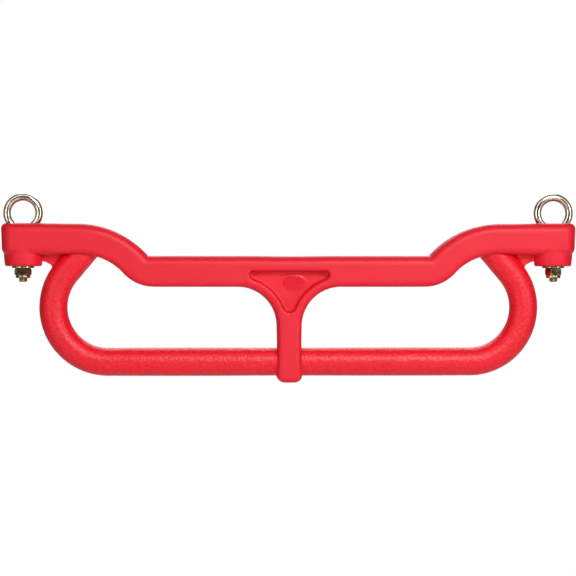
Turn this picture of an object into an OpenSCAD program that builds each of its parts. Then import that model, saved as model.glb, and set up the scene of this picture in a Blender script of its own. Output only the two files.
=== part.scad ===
// Trapeze swing bar with two hand loops: a moulded plastic crossbeam with a centre post, a bent
// steel tube with a pebbled grip coat below it, and a steel eye bolt at each end.
// Millimetres. X runs along the bar, +Y to the back, +Z up. The origin is midway between the
// centres of the two eyes.

/* [Crossbeam] */
// Distance between the centres of the two eyes
eye_spacing = 610; // [590:1:640]
// Overall length of the crossbeam
beam_len = 660.4; // [650:0.2:700]
// Height of the beam's section
beam_h = 35.4; // [33:0.1:38]
// Front-to-back depth of the beam's section
beam_depth = 45; // [43:0.5:50]
// Radius along the front and back edges of the beam and the post
beam_edge_r = 8; // [5:0.5:8]
// Radius of the beam's end corners, seen from the front
beam_corner_r = 8.4; // [8.2:0.1:12]
// Radius of the beam's end corners, seen from above
beam_end_r = 16; // [12:0.5:20]
// Height of the eye centres above the raised ends of the beam
eye_rise = 12; // [10:0.5:14]
// How far the middle of the beam lies below its ends
beam_drop = 37.3; // [30:0.1:40]
// Inner radius of the bend next to each raised end
upper_bend_r = 71; // [65:1:80]
// Outer radius of the bend next to the middle
lower_bend_r = 47.5; // [42:0.5:50]
// Distance from the middle to where each raised end starts to bend
bend_start = 242; // [235:1:250]

/* [Centre post] */
// Width of the post, left to right
post_w = 28; // [26:0.5:32]
// Radius of the post's two bottom corners, seen from the front
post_foot_r = 8.6; // [8.2:0.1:12]
// Radius of the webs that spread from the post into the beam
post_blend_r = 45; // [40:1:50]
// How far the post reaches below the grip
post_below_grip = 8; // [6:0.5:12]

/* [Pocket] */
// Half width of the triangular pocket
pocket_half_w = 45.6; // [40:0.2:46]
// Depth of the pocket in each face
pocket_depth = 11; // [6:0.5:14]
// Width of the rim between the pocket and the webs' outer edge
pocket_rim = 10.7; // [10:0.1:12]
// Distance from the top of the beam to the top of the pocket
pocket_drop = 17.2; // [15:0.2:19]
// Depth of the pocket's lowest point below the eye centres
pocket_tip = 114; // [110:1:118]

/* [Bosses] */
// Radius of each boss at its lower face
boss_r = 21.1; // [19:0.1:21.5]
// Radius of each boss where it enters the beam
boss_top_r = 22.1; // [21:0.1:22.4]
// Length of each boss below the raised ends
boss_len = 13.6; // [10:0.2:20]
// Radius of the boss's lower rim
boss_rim_r = 1.5; // [0.5:0.1:2.5]

/* [Grip] */
// Outer diameter of the coated grip
grip_d = 32.3; // [30:0.1:34]
// Thickness of the grip's coat
coat_t = 1.85; // [1.5:0.05:2.5]
// Wall thickness of the steel tube
tube_wall = 2; // [1.5:0.1:3]
// Depth of the grip's centreline below the eye centres
grip_depth = 170.7; // [165:0.1:176]
// Radius of each bend, measured at the tube's centreline
grip_bend_r = 62.7; // [60:0.1:66]
// Distance from the middle to the centre of each bend
grip_bend_x = 207.6; // [204:0.2:210]
// Lean of the tube's two legs away from upright, degrees
leg_lean = 40; // [38:0.5:42]
// Straight length of each leg of the steel tube
leg_len = 52; // [50:0.5:53]
// Straight length of each leg that carries the coat
coated_leg_len = 41; // [40:0.5:42]
// Length of each plug inside the tube
plug_len = 12; // [8:1:20]

/* [Gusset plates] */
// Thickness of the coated gusset plates
gusset_t = 5; // [4:0.5:7]
// Depth of each plate inside the beam and the boss
gusset_embed = 4; // [3:0.5:6]

/* [Hardware] */
// Outer diameter of each eye
eye_d = 45.3; // [44:0.1:46]
// Diameter of the eye bolt's wire
wire_d = 8.6; // [8.2:0.1:9]
// Outer diameter of the thread
thread_d = 9.9; // [9.5:0.1:10]
// Length of the thread
thread_len = 27; // [24:1:32]
// Depth of the bolt's tip below the eye centres
bolt_tip = 79; // [78:0.5:84]
// Outer diameter of the washers
washer_d = 25.4; // [24:0.2:28]
// Thickness of the washers
washer_t = 2.1; // [1.8:0.1:2.5]
// Width of the nuts across their flats
nut_af = 17; // [16:0.5:17]
// Height of the nuts' hexagon
nut_hex_h = 8.7; // [8:0.1:9]
// Height of the nuts' round collar
collar_h = 2.9; // [2.5:0.1:3.2]
// Outer diameter of the nuts' round collar
collar_d = 16.7; // [15:0.1:16.9]
// Turn of the right nut about its bolt, degrees
right_nut_turn = 9; // [0:1:59]
// Outer diameter of the steel sleeves in the bosses
sleeve_d = 14; // [13:0.5:16]

/* [Hidden] */
$fn = 96;
// Gap left between moulded plastic and the steel or coat inside it
fit = 0.1;
// Gap round the eye in its slot
slot_gap = 0.4;
// Running gap between the thread and what it turns in
thread_gap = 0.05;
half_len = beam_len / 2;
half_depth = beam_depth / 2;
eye_x = eye_spacing / 2;
end_top = -eye_rise;
end_bottom = end_top - beam_h;
mid_top = end_top - beam_drop;
mid_bottom = end_bottom - beam_drop;
bend_angle = acos(1 - beam_drop / (upper_bend_r + lower_bend_r));
bend_run = (upper_bend_r + lower_bend_r) * sin(bend_angle);
mid_end = bend_start - bend_run;
outer_bend_r = upper_bend_r + beam_h;
bend_z = end_top - outer_bend_r;
// Where the outer arc of the bend runs into the level top of the middle
crease_angle = acos((mid_top - bend_z) / outer_bend_r);
// Steps along arcs in degrees, and steps across each rounded edge
arc_step = 6;
edge_steps = 4;
grip_r = grip_d / 2;
tube_r = grip_r - coat_t;
bore_r = tube_r - tube_wall;
plug_head = 2;
// Each leg laps into its bend and is a hair thicker, which joins the two in one solid
leg_lap = 0.5;
leg_step = 0.02;
boss_bottom = end_bottom - boss_len;
washer_bottom = boss_bottom - washer_t;
hex_bottom = washer_bottom - nut_hex_h;
nut_bottom = hex_bottom - collar_h;
eye_r = eye_d / 2 - wire_d / 2;
slot_r = eye_d / 2 + slot_gap;
slot_w = wire_d + 2 * slot_gap;
post_bottom = -grip_depth - grip_r - post_below_grip;
blend_x = post_w / 2 + post_blend_r;
blend_z = mid_bottom - post_blend_r;
pocket_top = mid_top - pocket_drop;
pocket_end_r = 4.2;
pocket_tip_r = 5.2;
insert_r = 6.8;
insert_h = 2.3;
sleeve_bore_r = thread_d / 2 + 0.3;
nut_corner_r = nut_af / 2 / cos(30);
beam_red = "#e83a46";
coat_red = "#e33441";
zinc = "#b9a56a";

// ---- frames of reference -------------------------------------------------------------------

// A section in Y and Z, run along X from one place to another
module along_x(from, to) {
    translate([from, 0, 0]) rotate([90, 0, 90]) linear_extrude(to - from) children();
}

// An outline in X and Z, given a depth along Y about the middle plane
module along_y(depth) {
    rotate([90, 0, 0]) linear_extrude(depth, center = true) children();
}

// A section in radius and Y, swept about an axis along Y, angles up from +X
module around_y(x, z, from, to) {
    translate([x, 0, z]) rotate([90, 0, 0]) rotate([0, 0, from])
        rotate_extrude(angle = to - from) children();
}

// Both halves of a shape that is the same left and right
module both_sides() {
    children();
    mirror([1, 0, 0]) children();
}

// ---- crossbeam -----------------------------------------------------------------------------

// Points on an arc, each with the direction that leads into the material: side is 1 where the
// material lies outside the arc and -1 where it lies inside
function arc_points(x, z, r, from, to, side) =
    let (n = ceil(abs(to - from) / arc_step))
    [for (i = [0:n]) let (a = from + (to - from) * i / n, c = cos(a), s = sin(a))
        [[x + r * c, z + r * s], [side * c, side * s]]];

// The corner where two faces meet, with the direction that keeps an even distance from both
function mitre_point(x, z, n1, n2) = [[[x, z], (n1 + n2) / (1 + n1 * n2)]];

// The outline's right half, from the middle of the post's foot round to the middle of the top:
// first the post and its web, then the underside of the beam, then its end and top
function post_side() = concat(
    arc_points(post_w / 2 - post_foot_r, post_bottom + post_foot_r, post_foot_r, -90, 0, -1),
    arc_points(blend_x, blend_z, post_blend_r, 180, 90, 1)
);
function underside() = concat(
    arc_points(mid_end, mid_bottom + lower_bend_r, lower_bend_r, -90, bend_angle - 90, -1),
    arc_points(bend_start, bend_z, upper_bend_r, 90 + bend_angle - arc_step, 90, 1),
    arc_points(half_len - beam_corner_r, end_bottom + beam_corner_r, beam_corner_r, -90, 0, -1)
);
function top_side() = concat(
    arc_points(half_len - beam_corner_r, end_top - beam_corner_r, beam_corner_r, 0, 90, -1),
    arc_points(bend_start, bend_z, outer_bend_r, 90, 90 + crease_angle - arc_step, -1),
    mitre_point(bend_start - outer_bend_r * sin(crease_angle), mid_top,
        [sin(crease_angle), -cos(crease_angle)], [0, -1])
);

// Triangles between two runs of points that both go to the right, the lower run counting up
// from low to low_end and the upper run counting down from high to high_end
function strip(outline, low, low_end, high, high_end) =
    low == low_end && high == high_end ? [] :
    let (next_low = low < low_end ? outline[low + 1][0][0] : half_len + 1)
    let (next_high = high > high_end ? outline[high - 1][0][0] : half_len + 1)
    next_low <= next_high
        ? concat([[low, low + 1, high]], strip(outline, low + 1, low_end, high, high_end))
        : concat([[low, high - 1, high]], strip(outline, low, low_end, high - 1, high_end));

// The same points again on the left, in order back to the foot
function mirrored(outline) = [for (i = [len(outline) - 1:-1:0])
    [for (v = outline[i]) [-v[0], v[1]]]];

// One ring of the beam's surface: the outline at a place along Y, drawn in by inset
function ring(outline, y, inset) = [for (p = outline)
    [p[0][0] + inset * p[1][0], y, p[0][1] + inset * p[1][1]]];

// The whole beam with its post and webs, rounded along its front and its back edges
module rounded_beam() {
    half = concat(post_side(), underside(), top_side());
    outline = concat(half, mirrored(half));
    n = len(outline);
    rounding = [for (i = [0:edge_steps]) let (a = 90 * i / edge_steps)
        beam_edge_r * [1 - cos(a), 1 - sin(a)]];
    rings = concat(
        [for (e = rounding) ring(outline, e[0] - half_depth, e[1])],
        [for (i = [edge_steps:-1:0]) ring(outline, half_depth - rounding[i][0], rounding[i][1])]
    );
    last = len(rings) - 1;
    sides = [for (k = [0:last - 1], i = [0:n - 1])
        let (a = k * n + i, b = k * n + (i + 1) % n)
        each [[a, b, b + n], [a, b + n, a + n]]];
    web_end = len(post_side()) - 1;
    beam_end = web_end + len(underside());
    crease = len(half) - 1;
    right_face = strip(outline, web_end, beam_end, crease, beam_end + 1);
    face = concat(
        [for (i = [0:web_end - 1]) each [[i, i + 1, n - 2 - i], [i, n - 2 - i, n - 1 - i]]],
        [[n - 1 - web_end, web_end, crease], [n - 1 - web_end, crease, crease + 1]],
        right_face,
        [for (t = right_face) [n - 1 - t[2], n - 1 - t[1], n - 1 - t[0]]]
    );
    front_face = [for (t = face) [t[2], t[1], t[0]]];
    back_face = [for (t = face) [for (i = t) last * n + i]];
    polyhedron([for (r = rings) each r], concat(sides, front_face, back_face));
}

// Everything inside the beam's outline seen from above, which rounds its ends
module plan_prism() {
    r = beam_end_r;
    x = half_len - r;
    y = half_depth + fit - r;
    quarter = [for (a = [0:arc_step:90]) [x + r * cos(a), y + r * sin(a)]];
    half = concat([for (i = [len(quarter) - 1:-1:0]) [quarter[i][0], -quarter[i][1]]], quarter);
    translate([0, 0, post_bottom - 1]) linear_extrude(end_top - post_bottom + 2)
        polygon(concat(half, [for (i = [len(half) - 1:-1:0]) [-half[i][0], half[i][1]]]));
}

// The boss under the end, with a small bevel on its lower rim
module boss() {
    top = end_bottom + beam_h / 2;
    translate([eye_x, 0, 0]) rotate_extrude() polygon([
        [0, boss_bottom], [boss_r - boss_rim_r, boss_bottom], [boss_r, boss_bottom + boss_rim_r],
        [boss_top_r, end_bottom + 5], [boss_top_r, top], [0, top]
    ]);
}

// Outline of the pocket: a flat top, hollow sides that follow the webs, and a round tip
module pocket_outline() {
    side_r = post_blend_r + pocket_rim;
    end_x = pocket_half_w - pocket_end_r;
    end_z = pocket_top - pocket_end_r;
    tip_z = -pocket_tip + pocket_tip_r;
    half = [
        for (a = [-90:15:0]) [pocket_tip_r * cos(a), tip_z + pocket_tip_r * sin(a)],
        for (a = [162:-6:108]) [blend_x + side_r * cos(a), blend_z + side_r * sin(a)],
        for (a = [-65:15:90]) [end_x + pocket_end_r * cos(a), end_z + pocket_end_r * sin(a)]
    ];
    polygon(concat(half, [for (i = [len(half) - 1:-1:0]) [-half[i][0], half[i][1]]]));
}

// The curved slot that each eye sits in, and the bore for its sleeve and shank
module eye_seat() {
    translate([eye_x, 0, 0]) {
        along_y(slot_w) circle(slot_r);
        translate([0, 0, boss_bottom - 1]) cylinder(r = sleeve_d / 2 + fit, h = -boss_bottom);
    }
}

module crossbeam() {
    color(beam_red) difference() {
        union() {
            intersection() {
                rounded_beam();
                plan_prism();
            }
            both_sides() boss();
        }
        for (side = [-1, 1]) translate([0, side * half_depth, 0])
            along_y(2 * pocket_depth) pocket_outline();
        both_sides() {
            eye_seat();
            embedded_leg(tube_r + fit, leg_len + plug_head + fit);
            embedded_leg(grip_r + fit, coated_leg_len + fit);
            along_y(gusset_t + 2 * fit) gusset_outline(fit, 0);
        }
        along_x(-post_w, post_w) translate([0, -grip_depth]) circle(grip_r + fit);
    }
}

// ---- grip ----------------------------------------------------------------------------------

// The straight leg on the right, from just inside the end of its bend, as a solid rod
module leg(r, len) {
    translate([grip_bend_x, 0, -grip_depth + grip_bend_r]) rotate([0, -leg_lean, 0])
        translate([grip_bend_r, 0, -leg_lap]) cylinder(r = r + leg_step, h = len + leg_lap);
}

// The stretch of leg that the beam is moulded round
module embedded_leg(r, len) {
    intersection() {
        leg(r, len);
        translate([0, -beam_depth, end_bottom - boss_len])
            cube([half_len, 2 * beam_depth, boss_len + beam_h]);
    }
}

// The whole bent bar as a solid rod, its two legs len long
module bent_bar(r, len) {
    translate([-grip_bend_x, 0, -grip_depth]) rotate([0, 90, 0])
        cylinder(r = r, h = 2 * grip_bend_x);
    both_sides() {
        around_y(grip_bend_x, -grip_depth + grip_bend_r, -90, leg_lean)
            translate([grip_bend_r, 0]) circle(r);
        leg(r, len);
    }
}

module grip_tube() {
    color(zinc) difference() {
        bent_bar(tube_r, leg_len);
        bent_bar(bore_r, leg_len + 1);
    }
}

module grip_coating() {
    color(coat_red) difference() {
        bent_bar(grip_r, coated_leg_len);
        bent_bar(tube_r + fit, coated_leg_len + 1);
    }
}

// ---- gusset plates -------------------------------------------------------------------------

// Outline of the right plate, grown by a small margin: it runs up into the beam, across into the
// boss and back to a distance from the grip's centreline, with a hollow lower edge
module gusset_outline(grow, reach) {
    inner = grip_bend_x + 40;
    outer = eye_x - boss_r + gusset_embed + grow;
    top = end_bottom + gusset_embed + grow;
    arch_r = 8;
    arch_x = eye_x - boss_r - 4;
    arch_z = boss_bottom - 1.5 - grow;
    difference() {
        polygon([
            [inner, top], [outer, top], [outer, boss_bottom + 3.5 - grow],
            [arch_x, arch_z + arch_r], [grip_bend_x + 62, boss_bottom - 2 - grow],
            [inner, boss_bottom - 2 - grow]
        ]);
        translate([arch_x, arch_z]) circle(arch_r);
        translate([grip_bend_x, -grip_depth + grip_bend_r]) {
            circle(grip_bend_r + reach);
            rotate([0, 0, leg_lean]) square([grip_bend_r + reach, leg_len + 10]);
        }
    }
}

module right_gusset_plate() {
    color(coat_red) along_y(gusset_t) gusset_outline(0, grip_r + fit);
}

module left_gusset_plate() {
    mirror([1, 0, 0]) right_gusset_plate();
}

// ---- tube plugs ----------------------------------------------------------------------------

// A hollow plug with a thin head, pushed into the end of the tube
module right_tube_plug() {
    wall = 2;
    color("#303030") translate([grip_bend_x, 0, -grip_depth + grip_bend_r])
        rotate([0, -leg_lean, 0]) translate([grip_bend_r, 0, leg_len]) {
            cylinder(r = tube_r, h = plug_head);
            translate([0, 0, -plug_len]) difference() {
                cylinder(r = bore_r - thread_gap, h = plug_len);
                translate([0, 0, -1]) cylinder(r = bore_r - wall, h = plug_len + 1);
            }
        }
}

module left_tube_plug() {
    mirror([1, 0, 0]) right_tube_plug();
}

// ---- eye bolts and their hardware ----------------------------------------------------------

module right_bolt_sleeve() {
    top = -sqrt(slot_r * slot_r - sleeve_d * sleeve_d / 4) - fit;
    color(zinc) translate([eye_x, 0, boss_bottom]) difference() {
        cylinder(r = sleeve_d / 2, h = top - boss_bottom);
        translate([0, 0, -1]) cylinder(r = sleeve_bore_r, h = top - boss_bottom + 2);
    }
}

module left_bolt_sleeve() {
    mirror([1, 0, 0]) right_bolt_sleeve();
}

// Bent wire eye with a straight shank, its lower part threaded and chamfered at the tip
module eye_bolt() {
    chamfer = 1.2;
    seam = 4;
    color(zinc) {
        around_y(0, 0, -90, 270 - seam) translate([eye_r, 0]) circle(wire_d / 2);
        translate([0, 0, thread_len - bolt_tip])
            cylinder(r = wire_d / 2, h = bolt_tip - thread_len - eye_r);
        translate([0, 0, chamfer - bolt_tip]) cylinder(r = thread_d / 2, h = thread_len - chamfer);
        translate([0, 0, -bolt_tip])
            cylinder(r1 = thread_d / 2 - chamfer, r2 = thread_d / 2, h = chamfer);
    }
}

module washer() {
    color(zinc) translate([0, 0, washer_bottom]) difference() {
        cylinder(r = washer_d / 2, h = washer_t);
        translate([0, 0, -1]) cylinder(r = sleeve_bore_r, h = washer_t + 2);
    }
}

// Hexagon with chamfered corners above, round collar below, recessed for the insert
module lock_nut(turn) {
    cone_r = nut_af / 2 + nut_hex_h * 2;
    color(zinc) rotate([0, 0, turn]) difference() {
        union() {
            intersection() {
                translate([0, 0, hex_bottom]) cylinder(r = nut_corner_r, h = nut_hex_h, $fn = 6);
                translate([0, 0, hex_bottom]) cylinder(r1 = nut_af / 2, r2 = cone_r, h = nut_hex_h);
            }
            translate([0, 0, nut_bottom]) cylinder(r = collar_d / 2, h = collar_h);
        }
        translate([0, 0, nut_bottom - 1])
            cylinder(r = thread_d / 2 + thread_gap, h = nut_hex_h + collar_h + 2);
        translate([0, 0, nut_bottom - 1]) cylinder(r = insert_r, h = insert_h + 1);
    }
}

// Nylon ring that grips the thread
module nut_insert() {
    color("#e8e4d4") translate([0, 0, nut_bottom + fit]) difference() {
        cylinder(r = insert_r - thread_gap, h = insert_h - 2 * fit);
        translate([0, 0, -1]) cylinder(r = thread_d / 2 + thread_gap, h = insert_h + 1);
    }
}

// ---- what is drawn -------------------------------------------------------------------------

crossbeam();
grip_tube();
grip_coating();
left_gusset_plate();
right_gusset_plate();
left_tube_plug();
right_tube_plug();
left_bolt_sleeve();
right_bolt_sleeve();
translate([-eye_x, 0, 0]) eye_bolt();  // left_eye_bolt
translate([eye_x, 0, 0]) eye_bolt();  // right_eye_bolt
translate([-eye_x, 0, 0]) washer();  // left_washer
translate([eye_x, 0, 0]) washer();  // right_washer
translate([-eye_x, 0, 0]) lock_nut(0);  // left_lock_nut
translate([eye_x, 0, 0]) lock_nut(right_nut_turn);  // right_lock_nut
translate([-eye_x, 0, 0]) nut_insert();  // left_nut_insert
translate([eye_x, 0, 0]) nut_insert();  // right_nut_insert
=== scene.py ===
from math import acos, atan2, ceil, cos, pi, radians, sin, sqrt
import bmesh
import bpy
import numpy as np
import openvdb
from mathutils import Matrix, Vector


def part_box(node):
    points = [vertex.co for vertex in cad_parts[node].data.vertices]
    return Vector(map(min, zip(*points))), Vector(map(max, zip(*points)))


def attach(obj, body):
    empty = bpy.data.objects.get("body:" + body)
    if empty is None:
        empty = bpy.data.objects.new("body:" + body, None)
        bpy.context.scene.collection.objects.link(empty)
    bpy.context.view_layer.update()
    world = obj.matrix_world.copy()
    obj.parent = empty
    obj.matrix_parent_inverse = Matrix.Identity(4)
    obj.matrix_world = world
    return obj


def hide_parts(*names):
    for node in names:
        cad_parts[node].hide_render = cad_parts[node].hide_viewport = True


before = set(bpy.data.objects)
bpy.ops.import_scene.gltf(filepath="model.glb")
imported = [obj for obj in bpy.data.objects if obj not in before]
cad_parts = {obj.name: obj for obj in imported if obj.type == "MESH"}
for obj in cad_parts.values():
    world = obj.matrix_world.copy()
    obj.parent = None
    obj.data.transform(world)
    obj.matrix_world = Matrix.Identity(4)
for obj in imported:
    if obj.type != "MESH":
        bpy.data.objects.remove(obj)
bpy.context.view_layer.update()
MM = 0.001

# ---------------------------------------------------------------------------------------------
# Grip tube. The bent steel tube that carries the load. Its coat hides it from end to end, so
# the designed solid stays and takes the dull grey of mild steel as it comes off the draw bench.
# ---------------------------------------------------------------------------------------------


def linear(code):
    """The linear colour, with alpha, of an sRGB hex code."""
    parts = [int(code[i:i + 2], 16) / 255 for i in (0, 2, 4)]
    return tuple(c / 12.92 if c <= 0.04045 else ((c + 0.055) / 1.055) ** 2.4 for c in parts) + (1,)


def add(tree, kind, inputs=None, stops=(), **settings):
    """Adds a node with its settings, and gives each named input a value or a link. A ramp's
    stops are places from 0 to 1, each with a hex code."""
    node = tree.nodes.new(kind)
    for name, value in settings.items():
        setattr(node, name, value)
    for name, value in (inputs or {}).items():
        if isinstance(value, bpy.types.NodeSocket):
            tree.links.new(value, node.inputs[name])
        else:
            node.inputs[name].default_value = value
    for position, _ in stops[1:-1]:
        node.color_ramp.elements.new(position)
    for i, (position, code) in enumerate(stops):
        node.color_ramp.elements[i].position = position
        node.color_ramp.elements[i].color = linear(code)
    return node


def new_material(name, **shader_inputs):
    """An empty node material: returns it with its tree, its shader and its object coordinates."""
    material = bpy.data.materials.new(name)
    material.use_nodes = True
    tree = material.node_tree
    tree.nodes.clear()
    place = add(tree, "ShaderNodeTexCoord").outputs["Object"]
    fixed = {key.replace("_", " "): value for key, value in shader_inputs.items()}
    shader = add(tree, "ShaderNodeBsdfPrincipled", fixed)
    add(tree, "ShaderNodeOutputMaterial", {"Surface": shader.outputs["BSDF"]})
    return material, tree, shader, place


def dress(node, material):
    """Gives a CAD node's object a material."""
    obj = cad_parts[node]
    obj.data.materials.clear()
    obj.data.materials.append(material)


# Drawn mild steel: fine lengthwise drawing lines and a patchy grey mill finish.
drawn_steel, tree, shader, place = new_material("drawn_mild_steel", Metallic=1.0)
patches = add(tree, "ShaderNodeTexNoise", {"Vector": place, "Scale": 1 / (18 * MM), "Detail": 3.0})
greys = add(tree, "ShaderNodeValToRGB", {"Fac": patches.outputs["Fac"]},
            stops=((0.3, "77787A"), (0.7, "8E8F90")))
tree.links.new(greys.outputs["Color"], shader.inputs["Base Color"])
stretch = add(tree, "ShaderNodeMapping", {"Vector": place, "Scale": (0.05, 1, 1)})
lines = add(tree, "ShaderNodeTexNoise", {"Vector": stretch.outputs["Vector"],
            "Scale": 1 / (0.6 * MM)})
rough = add(tree, "ShaderNodeMapRange", {"Value": lines.outputs["Fac"], "To Min": 0.35,
            "To Max": 0.5})
tree.links.new(rough.outputs["Result"], shader.inputs["Roughness"])
dress("grip_tube", drawn_steel)

# ---------------------------------------------------------------------------------------------
# Tube plugs. Black polyethylene caps pushed into both ends of the tube before the beam is
# moulded round them. They stay inside the beam.
# ---------------------------------------------------------------------------------------------

# Black polyethylene, injection moulded: dull, with a faint grain.
black_plastic, tree, shader, place = new_material("black_polyethylene", IOR=1.52, Roughness=0.5)
grain = add(tree, "ShaderNodeTexNoise", {"Vector": place, "Scale": 1 / (0.8 * MM), "Detail": 2.0})
blacks = add(tree, "ShaderNodeValToRGB", {"Fac": grain.outputs["Fac"]},
             stops=((0.3, "171718"), (0.7, "202022")))
tree.links.new(blacks.outputs["Color"], shader.inputs["Base Color"])
for side in ("left", "right"):
    dress(side + "_tube_plug", black_plastic)

# ---------------------------------------------------------------------------------------------
# Grip coat. A thick red skin over the whole bent tube, with a pebbled grain for wet hands. It
# follows the tube: a straight grip, a bend at each end, and two legs that lean inwards and run
# up into the beam. Each hand's stretch is a touch fuller in its middle.
# ---------------------------------------------------------------------------------------------

coat_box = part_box("grip_coating")
GRIP_R = (coat_box[1][1] - coat_box[0][1]) / 2
BEND_R = 62.7 * MM
BEND_X = coat_box[1][0] - GRIP_R - BEND_R
GRIP_Z = coat_box[0][2] + GRIP_R
BEND_Z = GRIP_Z + BEND_R
LEG_LEAN = radians(40)
LEG_LEN = 41 * MM
HAND_X = 120 * MM
HAND_HALF_LEN = 90 * MM
PEBBLE = 2.3 * MM
PEBBLE_HEIGHT = 0.26 * MM


def grip_path():
    """Points along the right half of the tube's centreline, from the middle to the leg's end."""
    step, straight_steps = 4 * MM, 40
    straight = [(BEND_X * i / straight_steps, GRIP_Z) for i in range(straight_steps)]
    sweep = pi / 2 + LEG_LEAN
    count = ceil(BEND_R * sweep / step)
    turns = [-pi / 2 + sweep * i / count for i in range(count + 1)]
    bend = [(BEND_X + BEND_R * cos(a), BEND_Z + BEND_R * sin(a)) for a in turns]
    x, z = bend[-1]
    up = [LEG_LEN * t for t in (0.33, 0.67, 1)]
    return straight + bend + [(x - sin(LEG_LEAN) * t, z + cos(LEG_LEAN) * t) for t in up]


def grip_fullness(x):
    """The coat's thickness factor: a little over one in the middle of each hand's stretch."""
    if abs(x) >= BEND_X:
        return 1
    return 1.008 - 0.014 * min(1, abs(abs(x) - HAND_X) / HAND_HALF_LEN) ** 2


def new_curve(name, points, radii):
    """A poly curve through points, with a radius factor at each of them."""
    data = bpy.data.curves.new(name, "CURVE")
    data.dimensions = "3D"
    spline = data.splines.new("POLY")
    spline.points.add(len(points) - 1)
    for point, place, radius in zip(spline.points, points, radii):
        point.co = (*place, 1)
        point.radius = radius
    curve = bpy.data.objects.new(name, data)
    bpy.context.scene.collection.objects.link(curve)
    return curve


def rod_tree():
    """Geometry nodes that sweep a round section along a curve and raise pebbles on it."""
    tree = bpy.data.node_groups.new("rod_along_path", "GeometryNodeTree")
    face = tree.interface
    face.new_socket("Geometry", in_out="INPUT", socket_type="NodeSocketGeometry")
    for name in ("Radius", "Step", "Pebble Size", "Pebble Height"):
        face.new_socket(name, in_out="INPUT", socket_type="NodeSocketFloat")
    face.new_socket("Sides", in_out="INPUT", socket_type="NodeSocketInt")
    face.new_socket("Material", in_out="INPUT", socket_type="NodeSocketMaterial")
    face.new_socket("Geometry", in_out="OUTPUT", socket_type="NodeSocketGeometry")
    given = add(tree, "NodeGroupInput").outputs
    even = add(tree, "GeometryNodeResampleCurve", {"Curve": given["Geometry"],
               "Length": given["Step"]}, mode="LENGTH")
    section = add(tree, "GeometryNodeCurvePrimitiveCircle", {"Resolution": given["Sides"],
                  "Radius": given["Radius"]})
    width = add(tree, "GeometryNodeInputRadius")
    swept = add(tree, "GeometryNodeCurveToMesh", {"Curve": even.outputs["Curve"],
                "Profile Curve": section.outputs["Curve"], "Scale": width.outputs["Radius"],
                "Fill Caps": True})
    where = add(tree, "GeometryNodeInputPosition")
    density = add(tree, "ShaderNodeMath", {0: 1.0, 1: given["Pebble Size"]}, operation="DIVIDE")
    cells = add(tree, "ShaderNodeTexVoronoi", {"Vector": where.outputs["Position"],
                "Scale": density.outputs[0], "Smoothness": 0.6, "Randomness": 1.0},
                feature="SMOOTH_F1")
    low_grain = add(tree, "ShaderNodeTexNoise", {"Vector": where.outputs["Position"],
                    "Scale": density.outputs[0], "Detail": 1.0})
    dome = add(tree, "ShaderNodeMapRange", {"Value": cells.outputs["Distance"], "From Min": 0.1,
               "From Max": 0.7, "To Min": 0.0, "To Max": -1.0})
    mixed = add(tree, "ShaderNodeMath", {0: low_grain.outputs[0], 1: dome.outputs["Result"]},
                operation="MULTIPLY")
    height = add(tree, "ShaderNodeMath", {0: mixed.outputs[0], 1: given["Pebble Height"]},
                 operation="MULTIPLY")
    outward = add(tree, "GeometryNodeInputNormal")
    push = add(tree, "ShaderNodeVectorMath", {0: outward.outputs["Normal"],
               "Scale": height.outputs[0]}, operation="SCALE")
    raised = add(tree, "GeometryNodeSetPosition", {"Geometry": swept.outputs["Mesh"],
                 "Offset": push.outputs["Vector"]})
    smooth = add(tree, "GeometryNodeSetShadeSmooth", {"Geometry": raised.outputs["Geometry"]})
    real = add(tree, "GeometryNodeRealizeInstances", {"Geometry": smooth.outputs["Geometry"]})
    painted = add(tree, "GeometryNodeSetMaterial", {"Geometry": real.outputs["Geometry"],
                  "Material": given["Material"]})
    add(tree, "NodeGroupOutput", {"Geometry": painted.outputs["Geometry"]})
    return tree


def grow(name, source, tree, **inputs):
    """Runs a node tree on an object and returns the result as a plain mesh object."""
    modifier = source.modifiers.new(name, "NODES")
    modifier.node_group = tree
    for socket in tree.interface.items_tree:
        key = socket.name.replace(" ", "_")
        if key in inputs:
            modifier[socket.identifier] = inputs[key]
    evaluated = source.evaluated_get(bpy.context.evaluated_depsgraph_get())
    mesh = bpy.data.meshes.new_from_object(evaluated)
    mesh.name = name
    source.modifiers.remove(modifier)
    bpy.data.objects.remove(source)
    piece = bpy.data.objects.new(name, mesh)
    bpy.context.scene.collection.objects.link(piece)
    return piece


# Pebbled vinyl, dip coated: rounded grains a couple of millimetres wide, with a fine matte skin on
# each grain. Its colour is painted lighter on the grains' tops, a painted highlight, and deeper red
# between them, painted shade, varied by random clouds of tone.
pebbled_vinyl, tree, shader, place = new_material("pebbled_red_vinyl", IOR=1.5,
                                                  Specular_IOR_Level=0.42)
cells = add(tree, "ShaderNodeTexVoronoi", {"Vector": place, "Scale": 1 / PEBBLE,
            "Smoothness": 0.6}, feature="SMOOTH_F1")
tone = add(tree, "ShaderNodeTexNoise", {"Vector": place, "Scale": 1 / (5 * MM), "Detail": 3.0})
blend = add(tree, "ShaderNodeMath", {0: cells.outputs["Distance"], 1: tone.outputs["Fac"]},
            operation="MULTIPLY")
# Painted highlight and painted shade: the red is lighter near each cell's centre, on the grain
# tops, and deeper between the grains.
pebble_highlight_and_shade = add(tree, "ShaderNodeValToRGB", {"Fac": blend.outputs[0]},
           stops=((0.1, "F41129"), (0.36, "E40D22")))
tree.links.new(pebble_highlight_and_shade.outputs["Color"], shader.inputs["Base Color"])
skin = add(tree, "ShaderNodeTexNoise", {"Vector": place, "Scale": 1 / (0.7 * MM), "Detail": 2.0})
rough = add(tree, "ShaderNodeMapRange", {"Value": skin.outputs["Fac"], "To Min": 0.33,
            "To Max": 0.47})
tree.links.new(rough.outputs["Result"], shader.inputs["Roughness"])
grains = add(tree, "ShaderNodeBump", {"Height": cells.outputs["Distance"], "Strength": 0.6,
             "Distance": 0.4 * MM}, invert=True)
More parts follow.
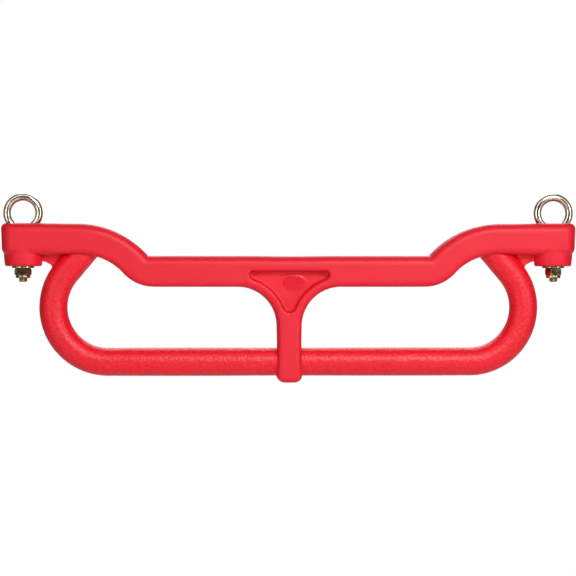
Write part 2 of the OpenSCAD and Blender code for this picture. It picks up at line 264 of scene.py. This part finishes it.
fine = add(tree, "ShaderNodeBump", {"Height": skin.outputs["Fac"], "Strength": 0.3,
           "Distance": 0.12 * MM, "Normal": grains.outputs["Normal"]})
tree.links.new(fine.outputs["Normal"], shader.inputs["Normal"])

half_path = grip_path()
path = [(-x, 0, z) for x, z in half_path[:0:-1]] + [(x, 0, z) for x, z in half_path]
centreline = new_curve("grip_path", path, [grip_fullness(x) for x, _, _ in path])
grip_coat = grow("grip_coat", centreline, rod_tree(), Radius=GRIP_R, Step=1.0 * MM, Sides=96,
                 Pebble_Size=PEBBLE, Pebble_Height=PEBBLE_HEIGHT, Material=pebbled_vinyl)
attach(grip_coat, "root")
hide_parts("grip_coating")

# ---------------------------------------------------------------------------------------------
# Crossbeam. One moulded polyethylene piece: raised straight ends, an S-bend each side, a low
# middle, a post whose foot is moulded round the grip, a pocket in each face and a boss under
# each end. Its form is a distance field, so every edge and every joint has a moulded radius.
# ---------------------------------------------------------------------------------------------

beam_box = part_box("crossbeam")
HALF_LEN = beam_box[1][0]
HALF_DEPTH = beam_box[1][1]
POST_BOTTOM = beam_box[0][2]
EYE_X = (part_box("right_eye_bolt")[0][0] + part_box("right_eye_bolt")[1][0]) / 2
END_TOP = beam_box[1][2]
BEAM_H = 35.4 * MM
BEAM_DROP = 37.3 * MM
END_BOTTOM = END_TOP - BEAM_H
MID_TOP = END_TOP - BEAM_DROP
MID_BOTTOM = END_BOTTOM - BEAM_DROP
UPPER_BEND_R = 71 * MM
LOWER_BEND_R = 47.5 * MM
BEND_START = 242 * MM
BEND_ANGLE = acos(1 - BEAM_DROP / (UPPER_BEND_R + LOWER_BEND_R))
MID_END = BEND_START - (UPPER_BEND_R + LOWER_BEND_R) * sin(BEND_ANGLE)
ARC_Z = END_TOP - UPPER_BEND_R - BEAM_H
LOW_ARC_Z = MID_BOTTOM + LOWER_BEND_R
TOP_EDGE_R = 10.3 * MM
LOW_EDGE_R = 6.8 * MM
END_EDGE_R = 6.5 * MM
END_CORNER_R = 16 * MM
OUTLINE_TRIM = 0.5 * MM
POST_HALF_W = 14 * MM
POST_WEB_R = 45 * MM
POST_FOOT_R = 8.6 * MM
POST_WAIST_Z = -148 * MM
POST_FLARE_Z = -186 * MM
BOSS_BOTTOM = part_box("right_washer")[1][2]
BOSS_R_LOW = 21.1 * MM
BOSS_R_HIGH = 22.3 * MM
SLOT_R = 23.05 * MM
SLOT_HALF_W = 4.7 * MM
BORE_R = 7.05 * MM
POCKET_TOP = MID_TOP - 17.2 * MM
POCKET_TIP = -114 * MM
POCKET_HALF_W = 45.6 * MM
POCKET_RIM = 10.7 * MM
POCKET_CORNER_R = 4.2 * MM
POCKET_DEPTH = 13 * MM
PAD_X, PAD_Z = 5.9 * MM, -79.9 * MM
PAD_HALF_W, PAD_HALF_H = 13.2 * MM, 9.1 * MM
PAD_HEIGHT = 0.5 * MM
WEB_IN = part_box("right_gusset_plate")[0][0]
WEB_HALF_T = 2.5 * MM
WEB_OUT = EYE_X - 17.1 * MM
WEB_TOP = END_BOTTOM + 4 * MM
WEB_FOOT_Z = BOSS_BOTTOM + 5.9 * MM
WEB_SLOPE_X = EYE_X - 26 * MM
WEB_SLOPE = radians(30)
TUBE_HOLE_R = 14.4 * MM
TUBE_HOLE_END = 54.1 * MM


def round_join(a, b, r):
    """Union of two fields, with a hollow radius r where they meet."""
    return np.maximum(r, np.minimum(a, b)) - np.hypot(np.maximum(r - a, 0), np.maximum(r - b, 0))


def round_edge(a, b, r):
    """Common part of two fields, with a radius r on the edge between them."""
    return np.minimum(-r, np.maximum(a, b)) + np.hypot(np.maximum(r + a, 0), np.maximum(r + b, 0))


def swell(value, centre, spread):
    """A smooth bump that is one at its centre and fades over its spread."""
    return np.exp(-((value - centre) / spread) ** 2)


def leg_frame(x, z):
    """Place along a leg's axis past the bend, and distance from that axis in its own plane."""
    dx, dz = x - BEND_X, z - BEND_Z
    along = -dx * sin(LEG_LEAN) + dz * cos(LEG_LEAN)
    across = dx * cos(LEG_LEAN) + dz * sin(LEG_LEAN) - BEND_R
    return along, across


def coat_field(x, y, z):
    """Distance from the smooth coat's surface, over the right half of the tube."""
    x = np.abs(x)
    along, across = leg_frame(x, z)
    arc = np.hypot(np.hypot(x - BEND_X, z - BEND_Z) - BEND_R, y)
    straight = np.hypot(z - GRIP_Z, y)
    leg = np.hypot(across, y)
    centre = np.where(along > 0, leg, np.where(x < BEND_X, straight, arc))
    return centre - GRIP_R


def plate_field(x, y, z):
    """Distance from a gusset plate without its hollow side: a flat piece with a sloped foot."""
    x = np.abs(x)
    foot = WEB_FOOT_Z - z
    slope = (x - WEB_SLOPE_X) * sin(WEB_SLOPE) + (foot - 1 * MM) * cos(WEB_SLOPE)
    lower = round_join(slope, foot, 2 * MM)
    outer = np.maximum(x - WEB_OUT, z - WEB_TOP)
    return round_edge(np.maximum(outer, lower), np.abs(y) - WEB_HALF_T, 1.2 * MM)


def profile_fields(x, z):
    """Distances from the beam's top line and from its underside, the post included."""
    lift = 0.75 * MM * np.clip((x - 255 * MM) / (40 * MM), 0, 1) - OUTLINE_TRIM
    sag = 0.4 * MM * swell(x, 0, 30 * MM)
    arc = np.hypot(x - BEND_START, z - ARC_Z)
    on_end = x > BEND_START
    crown = arc - UPPER_BEND_R - BEAM_H + OUTLINE_TRIM
    top = np.where(on_end, z - END_TOP - lift, np.minimum(z - MID_TOP + sag, crown))

    thin = 0.8 * MM * swell(x, 200 * MM, 30 * MM)
    low_arc = np.hypot(x - MID_END, z - LOW_ARC_Z) - LOWER_BEND_R
    on_upper = (x - MID_END) * cos(BEND_ANGLE) + (z - LOW_ARC_Z) * sin(BEND_ANGLE) > 0
    under = np.where(on_upper, UPPER_BEND_R - arc, low_arc)
    under = np.where(x < MID_END, MID_BOTTOM - z, np.where(on_end, END_BOTTOM - z, under)) + thin
    waist = 0.35 * MM * swell(z, POST_WAIST_Z, 12 * MM)
    flare = 0.5 * MM * swell(z, POST_FLARE_Z, 8 * MM)
    lower = round_join(under, x - POST_HALF_W + waist - flare, POST_WEB_R)
    return top, round_edge(lower, POST_BOTTOM + OUTLINE_TRIM - z, POST_FOOT_R)


def pocket_field(x, y, z, left_right, front):
    """Distance from the triangular hollow in each face. The front one has a raised oval pad."""
    post_side = np.hypot(x - POST_HALF_W - POST_WEB_R, z - MID_BOTTOM + POST_WEB_R)
    depth = HALF_DEPTH - y
    rim_arc = POST_WEB_R + POCKET_RIM - post_side + 0.04 * depth
    ends = round_edge(z - POCKET_TOP, x - POCKET_HALF_W, POCKET_CORNER_R)
    hollow = round_edge(round_edge(ends, rim_arc, POCKET_CORNER_R), POCKET_TIP - z, 6 * MM)
    pad = np.hypot((left_right - PAD_X) / PAD_HALF_W, (z - PAD_Z) / PAD_HALF_H)
    raised = PAD_HEIGHT * front * np.clip((1.06 - pad) / 0.12, 0, 1)
    return round_edge(hollow + 0.03 * depth, depth - POCKET_DEPTH + raised, 2 * MM)


def beam_field(x, y, z):
    """Distance from the crossbeam's surface, negative inside the plastic."""
    front, left_right = y < 0, x
    x, y = np.abs(x), np.abs(y)
    top, lower = profile_fields(x, z)
    end_face = x - HALF_LEN + 0.3 * MM + 0.04 * (END_TOP - z)
    side = round_edge(end_face, y - HALF_DEPTH, END_CORNER_R)
    near_top = np.clip((top - lower) / (12 * MM) + 0.5, 0, 1)
    edge = LOW_EDGE_R + (TOP_EDGE_R - LOW_EDGE_R) * near_top
    near_end = np.clip((x - HALF_LEN + END_CORNER_R) / (12 * MM), 0, 1)
    edge -= (edge - END_EDGE_R) * near_end
    body = round_edge(np.maximum(top, lower), side, edge)

    boss_r = np.minimum(BOSS_R_LOW + (z - BOSS_BOTTOM) * 0.11, BOSS_R_HIGH)
    boss = round_edge(np.hypot(x - EYE_X + OUTLINE_TRIM, y) - boss_r, BOSS_BOTTOM - z, 2 * MM)
    body = round_join(body, np.maximum(boss, z - END_BOTTOM - 6 * MM), 1.3 * MM)
    body = round_edge(body, -pocket_field(x, y, z, left_right, front), 2.8 * MM)

    slot = np.maximum(np.hypot(x - EYE_X, z) - SLOT_R, y - SLOT_HALF_W)
    body = round_edge(body, -slot, 0.9 * MM)
    bore = np.maximum(np.hypot(x - EYE_X, y) - BORE_R, z + SLOT_R - 2 * MM)
    body = np.maximum(body, -bore)
    along, across = leg_frame(x, z)
    in_coat = np.maximum(coat_field(x, y, z) + 0.12 * MM, along - LEG_LEN)
    bare = np.maximum(np.hypot(across, y) - TUBE_HOLE_R, np.maximum(along - TUBE_HOLE_END, -along))
    body = np.maximum(body, -np.minimum(in_coat, bare))
    body = np.maximum(body, -np.maximum(plate_field(x, y, z), WEB_IN - x))
    return np.maximum(body, y - HALF_DEPTH)


def mesh_from_field(name, field, low, high, pitch, material):
    """Turns a distance field into a smooth closed mesh whose points lie on the field's surface."""
    axes = [np.arange(a - 2 * pitch, b + 3 * pitch, pitch) for a, b in zip(low, high)]
    values = field(*np.meshgrid(*axes, indexing="ij"))
    band = 3 * pitch
    grid = openvdb.FloatGrid()
    grid.background = band
    grid.copyFromArray(np.clip(values, -band, band).astype(np.float32))
    grid.transform = openvdb.createLinearTransform(voxelSize=pitch)
    points, _, quads = grid.convertToPolygons(isovalue=0.0, adaptivity=0.0)
    points = points.astype(float) + [axis[0] for axis in axes]
    nudge = 0.02 * MM
    for _ in range(3):
        here = field(*points.T)
        slope = np.stack([(field(*(points + step).T) - field(*(points - step).T)) / (2 * nudge)
                          for step in nudge * np.eye(3)], axis=1)
        move = -here[:, None] * slope / np.maximum((slope ** 2).sum(axis=1), 0.25)[:, None]
        points += np.clip(move, -0.5 * pitch, 0.5 * pitch)
    corner = points[quads]
    volume = np.einsum("ij,ij->", corner[:, 0], np.cross(corner[:, 1], corner[:, 2]))
    volume += np.einsum("ij,ij->", corner[:, 0], np.cross(corner[:, 2], corner[:, 3]))
    if volume < 0:
        quads = quads[:, ::-1]
    mesh = bpy.data.meshes.new(name)
    mesh.from_pydata(points.tolist(), [], quads.tolist())
    mesh.shade_smooth()
    mesh.materials.append(material)
    piece = bpy.data.objects.new(name, mesh)
    bpy.context.scene.collection.objects.link(piece)
    return piece


# Moulded polyethylene, coloured through: a satin skin with a very fine grain, faint clouds in
# the colour from the flow of the melt, and a parting line all round its middle plane. The oval
# pad in the front pocket is a shade fresher and smoother.
moulded_red, tree, shader, place = new_material("moulded_polyethylene", IOR=1.51,
                                                Specular_IOR_Level=0.36)
axes = add(tree, "ShaderNodeSeparateXYZ", {"Vector": place})
clouds = add(tree, "ShaderNodeTexNoise", {"Vector": place, "Scale": 1 / (22 * MM), "Detail": 4.0})
body_red = add(tree, "ShaderNodeValToRGB", {"Fac": clouds.outputs["Fac"]},
               stops=((0.3, "E5142A"), (0.7, "EA182F")))
centred = add(tree, "ShaderNodeMapping", {"Vector": place,
              "Location": (-PAD_X / PAD_HALF_W, 0, -PAD_Z / PAD_HALF_H),
              "Scale": (1 / PAD_HALF_W, 0, 1 / PAD_HALF_H)})
away = add(tree, "ShaderNodeVectorMath", {0: centred.outputs["Vector"]}, operation="LENGTH")
on_pad = add(tree, "ShaderNodeMapRange", {"Value": away.outputs["Value"], "From Min": 1.06,
             "From Max": 0.98})
at_front = add(tree, "ShaderNodeMath", {0: axes.outputs["Y"], 1: -5 * MM}, operation="LESS_THAN")
pad_mask = add(tree, "ShaderNodeMath", {0: on_pad.outputs["Result"], 1: at_front.outputs[0]},
               operation="MULTIPLY")
tint = add(tree, "ShaderNodeMix", {"Factor": pad_mask.outputs[0],
           6: body_red.outputs["Color"], 7: linear("E0002A")}, data_type="RGBA")
tree.links.new(tint.outputs[2], shader.inputs["Base Color"])
grain = add(tree, "ShaderNodeTexNoise", {"Vector": place, "Scale": 1 / (1.1 * MM), "Detail": 2.0})
satin = add(tree, "ShaderNodeMapRange", {"Value": grain.outputs["Fac"], "To Min": 0.42,
            "To Max": 0.52})
rough = add(tree, "ShaderNodeMath", {0: pad_mask.outputs[0], 1: -0.2, 2: satin.outputs["Result"]},
            operation="MULTIPLY_ADD")
tree.links.new(rough.outputs[0], shader.inputs["Roughness"])
from_seam = add(tree, "ShaderNodeMath", {0: axes.outputs["Y"]}, operation="ABSOLUTE")
seam = add(tree, "ShaderNodeMapRange", {"Value": from_seam.outputs[0], "From Min": 0.45 * MM,
           "From Max": 0.15 * MM})
relief = add(tree, "ShaderNodeMath", {0: seam.outputs["Result"], 1: grain.outputs["Fac"]},
             operation="ADD")
skin = add(tree, "ShaderNodeBump", {"Height": relief.outputs[0], "Strength": 0.5,
           "Distance": 0.1 * MM})
tree.links.new(skin.outputs["Normal"], shader.inputs["Normal"])

crossbeam = mesh_from_field("moulded_crossbeam", beam_field, *beam_box, 1.3 * MM, moulded_red)
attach(crossbeam, "root")
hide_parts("crossbeam")

# ---------------------------------------------------------------------------------------------
# Gusset plates. A small steel web each side, welded into the angle between the tube's bend and
# the boss before the tube is dipped, so it wears the same pebbled red coat as the grip. The
# coat bridges the corner where the web meets the tube.
# ---------------------------------------------------------------------------------------------


def gusset_field(x, y, z):
    """Distance from a coated web that flares where it meets the coated tube."""
    tube = coat_field(x, y, z)
    return np.maximum(round_join(plate_field(x, y, z), tube, 3 * MM), 0.1 * MM - tube)


for side in ("left", "right"):
    web_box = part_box(side + "_gusset_plate")
    piece = mesh_from_field(side + "_web", gusset_field, *web_box, 0.55 * MM, pebbled_vinyl)
    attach(piece, "root")
    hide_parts(side + "_gusset_plate")

# ---------------------------------------------------------------------------------------------
# Bolt sleeves. A plain steel sleeve moulded into each boss, so the nut can be drawn up tight
# against metal and not crush the plastic.
# ---------------------------------------------------------------------------------------------

for side in ("left", "right"):
    dress(side + "_bolt_sleeve", drawn_steel)

# ---------------------------------------------------------------------------------------------
# Eye bolts. One length of steel wire each, bent at the neck and closed into a ring, with a
# rolled M10 thread on the straight end, then zinc plated and yellow passivated.
# ---------------------------------------------------------------------------------------------

eye_low, eye_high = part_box("right_eye_bolt")
WIRE_R = 4.3 * MM
EYE_R = eye_high[2] - WIRE_R
BOLT_TIP = eye_low[2]
NECK_R = 6 * MM
RING_START = radians(-64)
THREAD_LEN = 27 * MM
THREAD_R = 4.95 * MM
THREAD_PITCH = 1.5 * MM
THREAD_DEPTH = 0.85 * MM
THREAD_CHAMFER = 1.2 * MM


def zinc(name, low, mid, high, low_rough, high_rough, worked=None):
    """Passivated zinc: bright metal under a thin film that drifts between three tones, with
    slight tool marks and dull patches. Below a given height it can be one tone, as rolled."""
    material, tree, shader, place = new_material(name, Metallic=1.0)
    film = add(tree, "ShaderNodeTexNoise", {"Vector": place, "Scale": 1 / (9 * MM),
               "Detail": 3.0, "Distortion": 0.4})
    tones = add(tree, "ShaderNodeValToRGB", {"Fac": film.outputs["Fac"]},
                stops=((0.32, low), (0.5, mid), (0.68, high)))
    colour = tones.outputs["Color"]
    if worked:
        height = add(tree, "ShaderNodeSeparateXYZ", {"Vector": place}).outputs["Z"]
        rolled = add(tree, "ShaderNodeMath", {0: height, 1: worked[0]}, operation="LESS_THAN")
        mix = add(tree, "ShaderNodeMix", {"Factor": rolled.outputs[0], 6: colour,
                  7: linear(worked[1])}, data_type="RGBA")
        colour = mix.outputs[2]
    tree.links.new(colour, shader.inputs["Base Color"])
    marks = add(tree, "ShaderNodeTexNoise", {"Vector": place, "Scale": 1 / (1.3 * MM),
                "Detail": 3.0})
    rough = add(tree, "ShaderNodeMapRange", {"Value": marks.outputs["Fac"], "From Min": 0.35,
                "From Max": 0.65, "To Min": low_rough, "To Max": high_rough})
    tree.links.new(rough.outputs["Result"], shader.inputs["Roughness"])
    dents = add(tree, "ShaderNodeBump", {"Height": marks.outputs["Fac"], "Strength": 0.2,
                "Distance": 0.04 * MM})
    tree.links.new(dents.outputs["Normal"], shader.inputs["Normal"])
    return material


def shell(rings, closed=False):
    """Points and faces of a skin over rings of equal length: capped at its ends, or closed."""
    count = len(rings[0])
    points = [p for ring in rings for p in ring]
    faces = []
    for i in range(len(rings) if closed else len(rings) - 1):
        a, b = i * count, (i + 1) % len(rings) * count
        faces += [(a + j, a + (j + 1) % count, b + (j + 1) % count, b + j) for j in range(count)]
    if not closed:
        faces += [tuple(reversed(range(count))), tuple(range(len(points) - count, len(points)))]
    return points, faces


def put_together(name, material, *parts, smooth_angle=35):
    """One object from meshes and from skins of points and faces, with doubled points merged,
    normals outwards, and edges sharper than the given angle kept sharp."""
    work = bmesh.new()
    for part in parts:
        if isinstance(part, bpy.types.Object):
            work.from_mesh(part.data)
            bpy.data.objects.remove(part)
        else:
            corners = [work.verts.new(p) for p in part[0]]
            for face in part[1]:
                work.faces.new([corners[i] for i in face])
    bmesh.ops.remove_doubles(work, verts=work.verts, dist=0.005 * MM)
    bmesh.ops.dissolve_degenerate(work, edges=work.edges, dist=0.004 * MM)
    bmesh.ops.recalc_face_normals(work, faces=work.faces)
    mesh = bpy.data.meshes.new(name)
    work.to_mesh(mesh)
    work.free()
    mesh.shade_smooth()
    mesh.set_sharp_from_angle(angle=radians(smooth_angle))
    mesh.materials.clear()
    mesh.materials.append(material)
    piece = bpy.data.objects.new(name, mesh)
    bpy.context.scene.collection.objects.link(piece)
    return piece


def eye_path(x):
    """The wire's centreline: round the ring from its free end, over the neck, down the shank."""
    neck_z = -sqrt((EYE_R + NECK_R) ** 2 - NECK_R ** 2)
    turn = atan2(-neck_z, NECK_R)
    ring = np.linspace(RING_START, pi + turn, 100)
    points = [(x + EYE_R * cos(a), 0, EYE_R * sin(a)) for a in ring]
    neck = np.linspace(turn, 0, 14)[1:]
    points += [(x - NECK_R + NECK_R * cos(a), 0, neck_z + NECK_R * sin(a)) for a in neck]
    shank = np.linspace(neck_z, BOLT_TIP + THREAD_LEN - 2 * MM, 12)[1:]
    return points + [(x, 0, z) for z in shank]


def thread(x, low, high):
    """A threaded rod along Z: rows that climb with the helix, cut flat and chamfered below."""
    sides, per_turn = 48, 8
    profile = [0, 0.12, 0.5, 0.88, 1, 0.88, 0.5, 0.12]
    rows = []
    for k in range(-per_turn, ceil((high - low) / THREAD_PITCH * per_turn) + 1):
        row = []
        for j in range(sides):
            a = 2 * pi * j / sides
            z = low + THREAD_PITCH * (k / per_turn + j / sides)
            z = min(max(z, low), high)
            r = THREAD_R - THREAD_DEPTH * (1 - profile[k % per_turn])
            r = min(r, THREAD_R - THREAD_CHAMFER + (z - low))
            row.append((x + r * cos(a), r * sin(a), z))
        rows.append(row)
    return rows


# Bright zinc with a pale yellow passivate, over drawn wire: smooth enough to mirror the room.
# The rolled thread below the ring is a flatter tan.
yellow_zinc = zinc("yellow_passivated_zinc", "B49E84", "CCBEAC", "E2DCD6", 0.04, 0.1,
                   (-40 * MM, "B09C70"))
for side in ("left", "right"):
    low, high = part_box(side + "_eye_bolt")
    x = (low[0] + high[0]) / 2
    wire_path = eye_path(x)
    wire_line = new_curve(side + "_wire_path", wire_path, [1] * len(wire_path))
    wire = grow(side + "_wire", wire_line, rod_tree(), Radius=WIRE_R, Step=0.8 * MM, Sides=48,
                Pebble_Size=PEBBLE, Pebble_Height=0.0, Material=yellow_zinc)
    rod = thread(x, BOLT_TIP, BOLT_TIP + THREAD_LEN)
    piece = put_together(side + "_eye", yellow_zinc, wire, shell(rod), smooth_angle=50)
    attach(piece, "root")
    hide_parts(side + "_eye_bolt")

# ---------------------------------------------------------------------------------------------
# Washers. Stamped from steel strip and tumbled, so that their edges are eased. Zinc plated like
# the bolts, they spread the nut's load under each boss.
# ---------------------------------------------------------------------------------------------

WASHER_BORE_R = 5.25 * MM
WASHER_EDGE_R = 0.45 * MM


def turned(x, profile, sides=96, radius=None):
    """Rings of a piece turned about a bolt at x: each profile entry is a radius and a height."""
    angles = [2 * pi * j / sides for j in range(sides)]
    shape = radius or (lambda r, a: r)
    return [[(x + shape(r, a) * cos(a), shape(r, a) * sin(a), z) for a in angles]
            for r, z in profile]


def eased(points, r, steps=4):
    """A profile loop with every corner rounded to radius r."""
    out = []
    for i, (x, z) in enumerate(points):
        before, after = points[i - 1], points[(i + 1) % len(points)]
        a = Vector((before[0] - x, before[1] - z)).normalized() * r
        b = Vector((after[0] - x, after[1] - z)).normalized() * r
        for t in [k / steps for k in range(steps + 1)]:
            out.append((x + a.x * (1 - t) ** 2 + b.x * t ** 2,
                        z + a.y * (1 - t) ** 2 + b.y * t ** 2))
    return out


# The same plating on stamped and forged steel, whose rougher skin makes it duller and more
# golden than on the wire.
golden_zinc = zinc("golden_passivated_zinc", "6E6346", "8E825F", "B8AD90", 0.1, 0.24)
for side in ("left", "right"):
    low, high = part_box(side + "_washer")
    x, outer = (low[0] + high[0]) / 2, (high[0] - low[0]) / 2
    edge = [(WASHER_BORE_R, low[2]), (outer, low[2]), (outer, high[2]), (WASHER_BORE_R, high[2])]
    ring = shell(turned(x, eased(edge, WASHER_EDGE_R)), closed=True)
    piece = put_together(side + "_flat_washer", golden_zinc, ring)
    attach(piece, "root")
    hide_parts(side + "_washer")

# ---------------------------------------------------------------------------------------------
# Lock nuts and their inserts. Cold-forged M10 hexagons with chamfered corners and a collar
# crimped over a nylon ring, screwed up under the washers with the collar downwards.
# ---------------------------------------------------------------------------------------------

NUT_AF = 17 * MM
FLAT_R = NUT_AF / 2
CORNER_R = NUT_AF / sqrt(3)
CHAMFER_H = (CORNER_R - FLAT_R) * 1.3
HEX_H = 8.7 * MM
NUT_BORE_R = 5.0 * MM
COLLAR_R = 8.35 * MM
CRIMP_R = 1.0 * MM
CRIMP_IN = 6.8 * MM
CRIMP_H = 2.3 * MM

# Polyamide: a milky, slightly waxy ring.
nylon, tree, shader, place = new_material("white_polyamide", IOR=1.53, Roughness=0.4)
cloudy = add(tree, "ShaderNodeTexNoise", {"Vector": place, "Scale": 1 / (3 * MM), "Detail": 2.0})
creams = add(tree, "ShaderNodeValToRGB", {"Fac": cloudy.outputs["Fac"]},
             stops=((0.3, "DEDAC8"), (0.7, "EAE7DA")))
tree.links.new(creams.outputs["Color"], shader.inputs["Base Color"])


def hexagon(turn):
    """A radius that is cut back to the flats of a hexagon turned by so many degrees."""
    def cut(r, a):
        across = (a - radians(turn)) % (pi / 3) - pi / 6
        return min(r, NUT_AF / 2 / cos(across))
    return cut


def nut_profile(bottom, top):
    """The nut's turned outline, from its bore at the top, down outside and in at the collar."""
    hex_low = top - HEX_H
    spread = CORNER_R - FLAT_R
    chamfer = (0, 0.25, 0.5, 0.75, 1)
    line = [(NUT_BORE_R, top), (FLAT_R - 0.5 * MM, top), (FLAT_R - 0.1 * MM, top - 0.06 * MM)]
    line += [(FLAT_R + spread * t, top - 0.1 * MM - CHAMFER_H * t) for t in chamfer]
    line += [(CORNER_R, top - HEX_H * t) for t in (0.3, 0.5, 0.7)]
    line += [(FLAT_R + spread * t, hex_low + 0.1 * MM + CHAMFER_H * t) for t in chamfer[::-1]]
    line += [(COLLAR_R + 0.1 * MM, hex_low), (COLLAR_R - 0.15 * MM, hex_low - 0.25 * MM)]
    line += [(COLLAR_R, hex_low - 0.8 * MM), (COLLAR_R, bottom + 1.2 * MM)]
    line += [(COLLAR_R - CRIMP_R * (1 - cos(radians(t))), bottom + CRIMP_R * (1 - sin(radians(t))))
             for t in (20, 45, 70, 90)]
    return line + [(CRIMP_IN, bottom), (CRIMP_IN, bottom + CRIMP_H), (NUT_BORE_R, bottom + CRIMP_H)]


for side, turn in (("left", 0), ("right", 9)):
    low_eye, high_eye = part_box(side + "_eye_bolt")
    x = (low_eye[0] + high_eye[0]) / 2
    low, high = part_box(side + "_lock_nut")
    rings = turned(x, nut_profile(low[2], high[2]), 180, hexagon(turn))
    piece = put_together(side + "_nut", golden_zinc, shell(rings, closed=True), smooth_angle=28)
    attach(piece, "root")
    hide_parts(side + "_lock_nut")
    dress(side + "_nut_insert", nylon)

# ---------------------------------------------------------------------------------------------
# Studio. A pale floor well below the hanging piece and a white surround. A key light from the
# front and above, a narrow strip on each side, a weak fill from below and a broad one behind.
# ---------------------------------------------------------------------------------------------

FLOOR_Z = -0.75
FLOOR_R = 2.5
FLOOR_SIDES = 128

# Matt white paint with faint clouds, a little lit of itself so that it stays pale in shadow.
white_floor, tree, shader, place = new_material("painted_white_floor", Roughness=0.8,
                                                Emission_Strength=0.12,
                                                Emission_Color=(1, 1, 1, 1))
paint = add(tree, "ShaderNodeTexNoise", {"Vector": place, "Scale": 3.0, "Detail": 2.0})
whites = add(tree, "ShaderNodeValToRGB", {"Fac": paint.outputs["Fac"]},
             stops=((0.3, "DEDEDC"), (0.7, "E6E6E4")))
tree.links.new(whites.outputs["Color"], shader.inputs["Base Color"])
angles = [2 * pi * i / FLOOR_SIDES for i in range(FLOOR_SIDES)]
rim = [(FLOOR_R * cos(a), FLOOR_R * sin(a), FLOOR_Z) for a in angles]
floor_mesh = bpy.data.meshes.new("floor")
floor_mesh.from_pydata(rim, [], [tuple(range(FLOOR_SIDES))])
floor_mesh.materials.append(white_floor)
floor = bpy.data.objects.new("floor", floor_mesh)
bpy.context.scene.collection.objects.link(floor)

# The surround is plain white to the eye. What the metal mirrors is a dark room with one bright
# band to the front, so that the rings and nuts show their form.
ROOM_BANDS = ((0.0, 0.2), (0.3, 0.12), (0.58, 0.05), (0.64, 0.05), (0.7, 1.0), (0.89, 1.0),
              (0.93, 0.085))
world = bpy.data.worlds.new("white_surround")
world.use_nodes = True
bpy.context.scene.world = world
tree = world.node_tree
tree.nodes.clear()
direction = add(tree, "ShaderNodeTexCoord").outputs["Generated"]
towards = add(tree, "ShaderNodeSeparateXYZ", {"Vector": direction}).outputs
depth = add(tree, "ShaderNodeMapRange", {"Value": towards["Y"], "From Min": 1.0,
            "From Max": -1.0})
tent = add(tree, "ShaderNodeValToRGB", {"Fac": depth.outputs["Result"]})
for position, brightness in ROOM_BANDS:
    tent.color_ramp.elements.new(position).color = (brightness, brightness, brightness, 1)
tent.color_ramp.elements.remove(tent.color_ramp.elements[0])
tent.color_ramp.elements.remove(tent.color_ramp.elements[-1])
sky = add(tree, "ShaderNodeMapRange", {"Value": towards["Z"], "From Min": -0.6, "From Max": 0.1,
          "To Min": 0.5, "To Max": 1.0})
room = add(tree, "ShaderNodeMath", {0: tent.outputs["Color"], 1: sky.outputs["Result"]},
           operation="MULTIPLY")
ray = add(tree, "ShaderNodeLightPath").outputs
level = add(tree, "ShaderNodeMapRange", {"Value": ray["Is Glossy Ray"], "To Min": 0.3,
            "To Max": 1.45})
lit = add(tree, "ShaderNodeMath", {0: room.outputs[0], 1: level.outputs["Result"]},
          operation="MULTIPLY")
dim = add(tree, "ShaderNodeBackground", {"Color": (1, 1, 1, 1), "Strength": lit.outputs[0]})
white = add(tree, "ShaderNodeBackground", {"Color": (1, 1, 1, 1), "Strength": 1.0})
seen = add(tree, "ShaderNodeMixShader", {0: ray["Is Camera Ray"], 1: dim.outputs["Background"],
           2: white.outputs["Background"]})
add(tree, "ShaderNodeOutputWorld", {"Surface": seen.outputs["Shader"]})
bpy.context.scene.view_settings.view_transform = "Standard"

MIDDLE = Vector((0, 0, -0.08))


def soft_light(name, place, width, height, watts):
    """A softbox that faces the middle of the piece."""
    data = bpy.data.lights.new(name, "AREA")
    data.shape = "RECTANGLE"
    data.size, data.size_y = width, height
    data.energy = watts
    lamp = bpy.data.objects.new(name, data)
    lamp.location = place
    lamp.rotation_euler = (MIDDLE - Vector(place)).to_track_quat("-Z", "Y").to_euler()
    bpy.context.scene.collection.objects.link(lamp)


soft_light("key", (0.45, -1.9, 0.85), 0.8, 0.6, 25)
soft_light("left_strip", (-1.25, -1.8, 0.15), 0.3, 1.0, 6)
soft_light("right_strip", (1.7, -1.7, 0.15), 0.35, 1.0, 8)
soft_light("fill", (0.3, -1.9, -0.7), 1.2, 1.2, 5)
soft_light("back", (0, 1.9, 1.6), 1.8, 1.8, 30)

# The camera faces the front from two degrees to the left, and sees a width of 662 mm.
AIM = Vector((-0.0012, 0, -0.086))
DISTANCE = 3.0
AZIMUTH = radians(-2)
VIEW_WIDTH = 662.4 * MM
SENSOR = 36
camera_data = bpy.data.cameras.new("camera")
camera_data.sensor_width = SENSOR
camera_data.lens = SENSOR * DISTANCE / VIEW_WIDTH
camera = bpy.data.objects.new("camera", camera_data)
camera.location = AIM + DISTANCE * Vector((sin(AZIMUTH), -cos(AZIMUTH), 0))
camera.rotation_euler = (AIM - camera.location).to_track_quat("-Z", "Y").to_euler()
bpy.context.scene.collection.objects.link(camera)
bpy.context.scene.camera = camera
